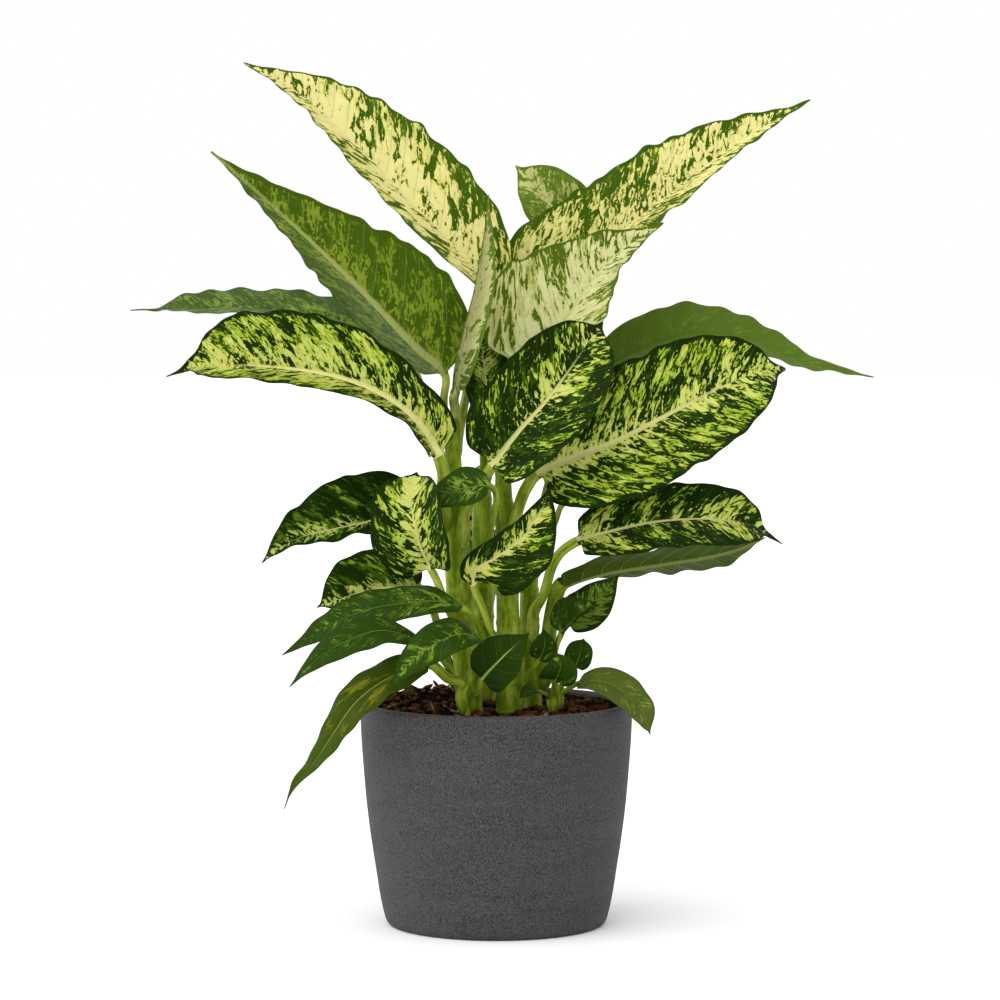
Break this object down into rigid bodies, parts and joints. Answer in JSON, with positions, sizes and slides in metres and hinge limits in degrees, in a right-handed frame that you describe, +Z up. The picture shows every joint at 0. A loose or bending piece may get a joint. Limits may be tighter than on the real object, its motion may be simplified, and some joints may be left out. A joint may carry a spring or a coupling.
{
  "type": "potted dieffenbachia",
  "caption": "Dieffenbachia house plant with broad variegated leaves on clustered stems, growing in the soil of a tapered round pot.",
  "frame": {"origin": "centre of the flat underside of the pot", "axes": "+Z up, along the pot's axis and the height of the plant; +Y towards the back, with the plant's front towards -Y; +X to the right seen from the front"},
  "size_m": [0.6101, 0.2344, 0.6978],
  "materials": {
    "pot": "matt, fine-pitted concrete look",
    "soil": "loose dark peat with bark",
    "stems": "smooth and waxy, living stem",
    "leaves_cream": "waxy, cream with green blotches",
    "leaves_pale": "waxy, pale green",
    "leaves_marbled": "waxy, dark green streaked with yellow-green",
    "leaves_dark": "waxy, dark green with a little cream"
  },
  "bodies": {
    "root": {"pot": "pot", "soil": "soil", "stem_left": "stems", "stem_centre": "stems", "stem_right": "stems", "stem_back": "stems", "shoot_left": "stems", "shoot_right": "stems", "leaf_top_left": "leaves_cream", "leaf_left_high": "leaves_cream", "leaf_left_edge": "leaves_marbled", "leaf_left_marbled": "leaves_marbled", "leaf_spear": "leaves_pale", "leaf_top_centre": "leaves_cream", "leaf_centre_marbled": "leaves_marbled", "leaf_right_large": "leaves_marbled", "leaf_top_right": "leaves_cream", "leaf_top_back": "leaves_pale", "leaf_right_back": "leaves_dark", "leaf_inner_dark": "leaves_dark", "leaf_right_mid": "leaves_marbled", "leaf_right_twisted": "leaves_dark", "leaf_right_small": "leaves_dark", "leaf_right_curled": "leaves_dark", "leaf_right_pale": "leaves_pale", "leaf_front_upper": "leaves_marbled", "leaf_left_upright": "leaves_marbled", "leaf_left_torn": "leaves_dark", "leaf_centre_folded": "leaves_dark", "leaf_left_comb": "leaves_dark", "leaf_left_arching": "leaves_dark", "leaf_left_low": "leaves_dark", "leaf_front_low": "leaves_dark", "leaf_front_dark": "leaves_dark", "leaf_drooping_left": "leaves_dark", "leaf_drooping_right": "leaves_dark", "leaf_base_curled": "leaves_dark", "leaf_base_upright": "leaves_dark", "leaf_base_tall": "leaves_dark", "leaf_base_tiny": "leaves_dark", "leaf_inner_back": "leaves_marbled"}
  },
  "joints": []
}
